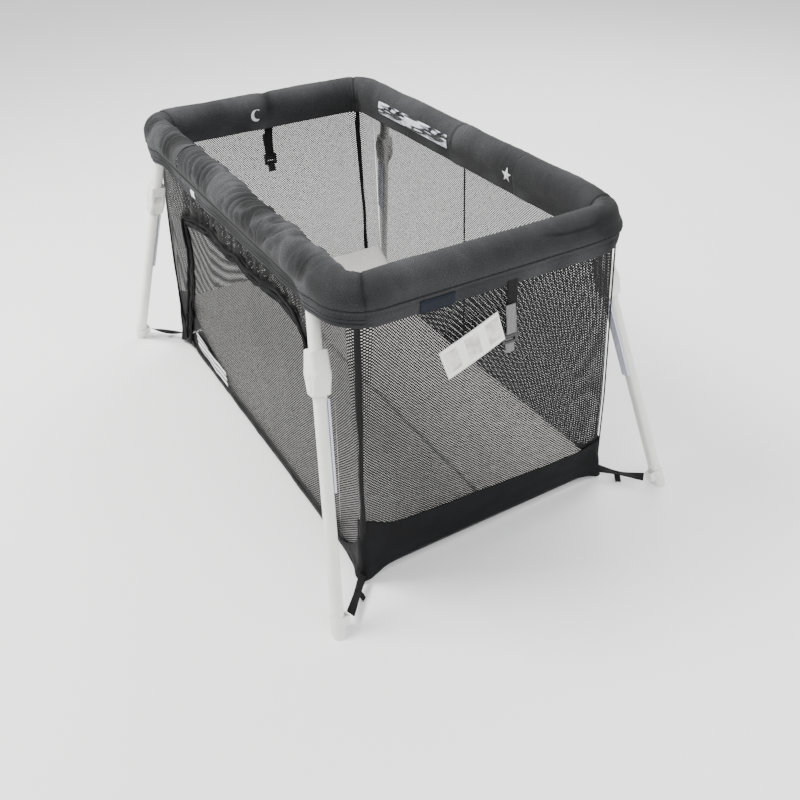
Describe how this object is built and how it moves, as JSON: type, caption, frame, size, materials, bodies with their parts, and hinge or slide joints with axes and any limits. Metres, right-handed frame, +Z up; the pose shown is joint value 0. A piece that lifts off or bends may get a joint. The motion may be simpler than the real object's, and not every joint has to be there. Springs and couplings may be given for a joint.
{
  "type": "travel play yard",
  "caption": "Folding travel play yard: padded rectangular top rail, mesh tub with mattress, and splayed white legs that fold at the knees.",
  "frame": {"origin": "on the floor, at the centre of the footprint", "axes": "+Z up, X along the length, the zip door side faces -Y"},
  "size_m": [1.2948, 0.8412, 0.656],
  "materials": {
    "rail_metal": "satin drawn tube",
    "leg_paint": "satin warm white powder coat",
    "hub_plastic": "fine satin moulding",
    "strip_plastic": "pale lavender grey, ribbed",
    "foot_plastic": "satin",
    "pad_cloth": "heather charcoal weave",
    "mesh_cloth": "open knitted net",
    "floor_cloth": "smooth coated weave",
    "webbing": "ribbed polypropylene webbing",
    "buckle_plastic": "satin",
    "mattress_cloth": "light warm grey, small woven dashes",
    "button_plastic": "satin",
    "card_paper": "matt card"
  },
  "bodies": {
    "right_end": {"right_end_rail": "rail_metal", "right_end_pad": "pad_cloth", "right_end_wall": "mesh_cloth", "right_end_pack_strap": "webbing", "right_end_buckle": "buckle_plastic", "front_right_gusset": "mesh_cloth", "back_right_gusset": "mesh_cloth", "front_right_foot_strap": "webbing", "back_right_foot_strap": "webbing", "tub_floor": "floor_cloth", "hang_tag": "card_paper"},
    "left_end": {"left_end_rail": "rail_metal", "left_end_pad": "pad_cloth", "left_end_wall": "mesh_cloth", "left_end_pack_strap": "webbing", "left_end_buckle": "buckle_plastic", "front_left_gusset": "mesh_cloth", "back_left_gusset": "mesh_cloth", "front_left_foot_strap": "webbing", "back_left_foot_strap": "webbing"},
    "front_right": {"front_right_rail": "rail_metal", "front_right_pad": "pad_cloth", "front_right_wall": "mesh_cloth", "front_right_upper_leg": "leg_paint", "front_right_hub": "hub_plastic"},
    "front_left": {"front_left_rail": "rail_metal", "front_left_pad": "pad_cloth", "front_left_wall": "mesh_cloth", "front_left_upper_leg": "leg_paint", "front_left_hub": "hub_plastic"},
    "back_right": {"back_right_rail": "rail_metal", "back_right_pad": "pad_cloth", "back_right_wall": "mesh_cloth", "back_right_upper_leg": "leg_paint", "back_right_hub": "hub_plastic"},
    "back_left": {"back_left_rail": "rail_metal", "back_left_pad": "pad_cloth", "back_left_wall": "mesh_cloth", "back_left_upper_leg": "leg_paint", "back_left_hub": "hub_plastic"},
    "front_right_leg": {"front_right_lower_leg": "leg_paint", "front_right_foot_cap": "foot_plastic", "front_right_channel_strip": "strip_plastic"},
    "front_left_leg": {"front_left_lower_leg": "leg_paint", "front_left_foot_cap": "foot_plastic", "front_left_channel_strip": "strip_plastic"},
    "back_right_leg": {"back_right_lower_leg": "leg_paint", "back_right_foot_cap": "foot_plastic", "back_right_channel_strip": "strip_plastic"},
    "back_left_leg": {"back_left_lower_leg": "leg_paint", "back_left_foot_cap": "foot_plastic", "back_left_channel_strip": "strip_plastic"},
    "front_right_button": {"front_right_knee_button": "hub_plastic"},
    "front_left_button": {"front_left_knee_button": "hub_plastic"},
    "back_right_button": {"back_right_knee_button": "hub_plastic"},
    "back_left_button": {"back_left_knee_button": "hub_plastic"},
    "front_latch": {"front_latch_button": "button_plastic"},
    "back_latch": {"back_latch_button": "button_plastic"},
    "mattress": {"mattress": "mattress_cloth"}
  },
  "joints": [
    {"name": "rail_fold", "type": "hinge", "parent": "right_end", "child": "back_right", "pos_m": [0.44, 0.29, 0.624], "axis": [0, 0, 1], "range_deg": [0, 75], "deforming": ["right_end_pad", "left_end_pad", "right_end_wall", "left_end_wall", "tub_floor", "front_right_pad", "front_right_wall", "front_right_gusset", "front_right_foot_strap", "front_left_pad", "front_left_wall", "front_left_gusset", "front_left_foot_strap", "back_right_pad", "back_right_wall", "back_right_gusset", "back_right_foot_strap", "back_left_pad", "back_left_wall", "back_left_gusset", "back_left_foot_strap"]},
    {"name": "back_mid_hinge", "type": "hinge", "parent": "back_right", "child": "back_left", "pos_m": [0, 0.305, 0.624], "axis": [0, 0, 1], "range_deg": [-150, 0]},
    {"name": "back_left_corner", "type": "hinge", "parent": "back_left", "child": "left_end", "pos_m": [-0.44, 0.29, 0.624], "axis": [0, 0, 1], "range_deg": [0, 75]},
    {"name": "front_right_corner", "type": "hinge", "parent": "right_end", "child": "front_right", "pos_m": [0.44, -0.29, 0.624], "axis": [0, 0.2079, 0.9781], "range_deg": [-75, 0]},
    {"name": "front_mid_hinge", "type": "hinge", "parent": "front_right", "child": "front_left", "pos_m": [0, -0.30467, 0.62712], "axis": [0, 0.2079, 0.9781], "range_deg": [0, 150]},
    {"name": "front_right_knee", "type": "hinge", "parent": "front_right", "child": "front_right_leg", "pos_m": [0.45883, -0.32968, 0.46459], "axis": [0, 0.9863, -0.165], "range_deg": [0, 110]},
    {"name": "front_left_knee", "type": "hinge", "parent": "front_left", "child": "front_left_leg", "pos_m": [-0.45883, -0.32968, 0.46459], "axis": [0, -0.9863, 0.165], "range_deg": [0, 100]},
    {"name": "back_right_knee", "type": "hinge", "parent": "back_right", "child": "back_right_leg", "pos_m": [0.45883, 0.32968, 0.46459], "axis": [0, 0.9863, 0.165], "range_deg": [0, 110]},
    {"name": "back_left_knee", "type": "hinge", "parent": "back_left", "child": "back_left_leg", "pos_m": [-0.45883, 0.32968, 0.46459], "axis": [0, -0.9863, -0.165], "range_deg": [0, 100]},
    {"name": "front_right_knee_release", "type": "slide", "parent": "front_right", "child": "front_right_button", "axis": [0, 0.9863, -0.165], "range_m": [0, 0.003], "stiffness_N_per_m": 300, "springref_m": -0.001},
    {"name": "front_left_knee_release", "type": "slide", "parent": "front_left", "child": "front_left_button", "axis": [0, 0.9863, -0.165], "range_m": [0, 0.003], "stiffness_N_per_m": 300, "springref_m": -0.001},
    {"name": "back_right_knee_release", "type": "slide", "parent": "back_right", "child": "back_right_button", "axis": [0, -0.9863, -0.165], "range_m": [0, 0.003], "stiffness_N_per_m": 300, "springref_m": -0.001},
    {"name": "back_left_knee_release", "type": "slide", "parent": "back_left", "child": "back_left_button", "axis": [0, -0.9863, -0.165], "range_m": [0, 0.003], "stiffness_N_per_m": 300, "springref_m": -0.001},
    {"name": "front_latch_press", "type": "slide", "parent": "front_right", "child": "front_latch", "axis": [0, 0.2079, 0.9781], "range_m": [0, 0.003], "stiffness_N_per_m": 300, "springref_m": -0.001},
    {"name": "back_latch_press", "type": "slide", "parent": "back_right", "child": "back_latch", "axis": [0, 0, 1], "range_m": [0, 0.003], "stiffness_N_per_m": 300, "springref_m": -0.001},
    {"name": "mattress_lift", "type": "slide", "parent": "right_end", "child": "mattress", "axis": [0, 0, 1], "range_m": [0, 0.75], "deforming": ["mattress"]}
  ],
  "couplings": [
    {"joint": "back_mid_hinge", "follows": "rail_fold", "ratio": -2},
    {"joint": "back_left_corner", "follows": "rail_fold", "ratio": 1},
    {"joint": "front_right_corner", "follows": "rail_fold", "ratio": -1},
    {"joint": "front_mid_hinge", "follows": "rail_fold", "ratio": 2}
  ]
}
